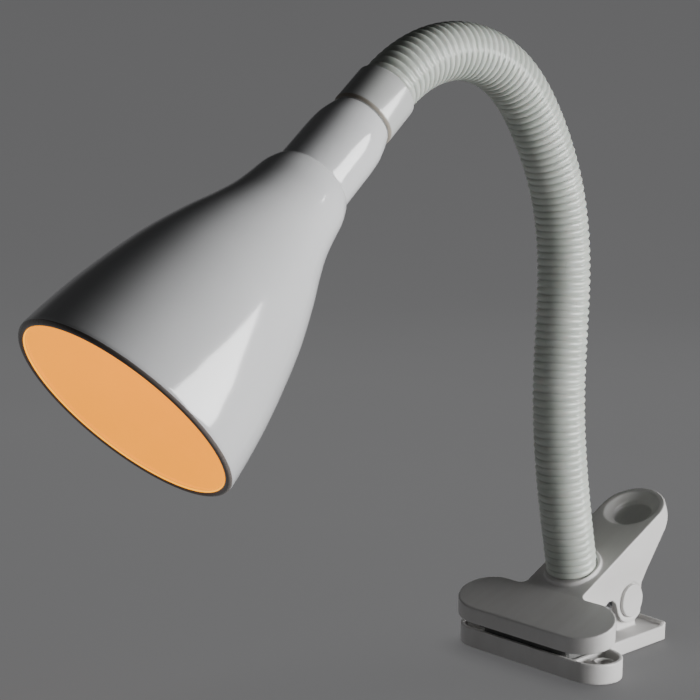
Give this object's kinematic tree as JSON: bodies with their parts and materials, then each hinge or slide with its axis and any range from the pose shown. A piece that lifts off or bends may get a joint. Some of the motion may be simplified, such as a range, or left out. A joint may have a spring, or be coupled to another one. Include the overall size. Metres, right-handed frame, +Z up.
{
  "type": "clip-on gooseneck lamp",
  "caption": "Clip-on reading lamp: a sprung two-jaw clip carries a ribbed flexible gooseneck, which ends in a bell-shaped gloss shade around a small screw lamp.",
  "frame": {"origin": "on the lower pad's gripping face, below the middle of the upper jaw", "axes": "+Z up, away from the lower jaw; the jaws open towards -Y and the shade hangs out over -Y; X runs along the jaws"},
  "size_m": [0.0942, 0.3607, 0.2961],
  "materials": {
    "clip_plastic": "satin off-white moulding",
    "pad_rubber": "matt black",
    "sleeve_vinyl": "semi-gloss pale white vinyl, ribbed",
    "steel": "zinc plated",
    "brass": "plain",
    "lead_vinyl": "satin",
    "shade_gloss": "high gloss white",
    "collar_gloss": "gloss white",
    "holder_plastic": "satin",
    "bulb_glass": "opal"
  },
  "bodies": {
    "clip_lower": {"lower_jaw": "clip_plastic", "lower_pad": "pad_rubber", "pivot_pin": "steel", "torsion_spring": "steel"},
    "clip_upper": {"upper_jaw": "clip_plastic", "upper_pad": "pad_rubber", "pivot_cap_left": "clip_plastic", "pivot_cap_right": "clip_plastic", "neck_stud": "brass", "neck_washer": "steel", "neck_nut": "steel", "cord_gland": "pad_rubber", "sleeve_1": "sleeve_vinyl", "core_1": "steel", "lead_1": "lead_vinyl"},
    "neck_1": {"sleeve_fold_1": "sleeve_vinyl", "sleeve_2": "sleeve_vinyl", "core_2": "steel", "lead_2": "lead_vinyl"},
    "neck_2": {"sleeve_fold_2": "sleeve_vinyl", "sleeve_3": "sleeve_vinyl", "core_3": "steel", "lead_3": "lead_vinyl"},
    "neck_3": {"sleeve_fold_3": "sleeve_vinyl", "sleeve_4": "sleeve_vinyl", "core_4": "steel", "lead_4": "lead_vinyl"},
    "neck_4": {"sleeve_fold_4": "sleeve_vinyl", "sleeve_5": "sleeve_vinyl", "core_5": "steel", "lead_5": "lead_vinyl"},
    "neck_5": {"sleeve_fold_5": "sleeve_vinyl", "sleeve_6": "sleeve_vinyl", "core_6": "steel", "lead_6": "lead_vinyl"},
    "neck_6": {"sleeve_fold_6": "sleeve_vinyl", "sleeve_7": "sleeve_vinyl", "core_7": "steel", "lead_7": "lead_vinyl"},
    "head": {"sleeve_fold_7": "sleeve_vinyl", "sleeve_8": "sleeve_vinyl", "core_8": "steel", "lead_8": "lead_vinyl", "head_collar": "collar_gloss", "collar_nut": "steel", "head_nipple": "brass", "shade": "shade_gloss", "holder_cap": "holder_plastic", "holder_body": "holder_plastic", "holder_shell": "brass", "holder_contact": "brass", "bulb_cap": "steel", "bulb_globe": "bulb_glass"}
  },
  "joints": [
    {"name": "clip_pivot", "type": "hinge", "parent": "clip_lower", "child": "clip_upper", "pos_m": [0, 0.0546, 0.0108], "axis": [-1, 0, 0], "range_deg": [0, 35], "stiffness_Nm_per_rad": 1.2, "springref_deg": -51.57, "deforming": ["torsion_spring"]},
    {"name": "neck_bend_1", "type": "hinge", "parent": "clip_upper", "child": "neck_1", "pos_m": [0, 0.02251, 0.05322], "axis": [-1, 0, 0], "range_deg": [-12, 20], "deforming": ["sleeve_fold_1"]},
    {"name": "neck_side_2", "type": "hinge", "parent": "neck_1", "child": "neck_2", "pos_m": [0, 0.01457, 0.09981], "axis": [0, -0.9945, -0.105], "range_deg": [-18, 18], "deforming": ["sleeve_fold_2"]},
    {"name": "neck_bend_3", "type": "hinge", "parent": "neck_2", "child": "neck_3", "pos_m": [0, 0.0138, 0.14705], "axis": [-1, 0, 0], "range_deg": [-12, 20], "deforming": ["sleeve_fold_3"]},
    {"name": "neck_side_4", "type": "hinge", "parent": "neck_3", "child": "neck_4", "pos_m": [0, 0.01189, 0.19418], "axis": [0, -0.9833, -0.1822], "range_deg": [-18, 18], "deforming": ["sleeve_fold_4"]},
    {"name": "neck_bend_5", "type": "hinge", "parent": "neck_4", "child": "neck_5", "pos_m": [0, -0.00571, 0.23772], "axis": [-1, 0, 0], "range_deg": [-12, 20], "deforming": ["sleeve_fold_5"]},
    {"name": "neck_side_6", "type": "hinge", "parent": "neck_5", "child": "neck_6", "pos_m": [0, -0.04026, 0.26871], "axis": [0, -0.3451, -0.9386], "range_deg": [-18, 18], "deforming": ["sleeve_fold_6"]},
    {"name": "neck_bend_7", "type": "hinge", "parent": "neck_6", "child": "head", "pos_m": [0, -0.08632, 0.26665], "axis": [-1, 0, 0], "range_deg": [-12, 20], "deforming": ["sleeve_fold_7"]}
  ]
}
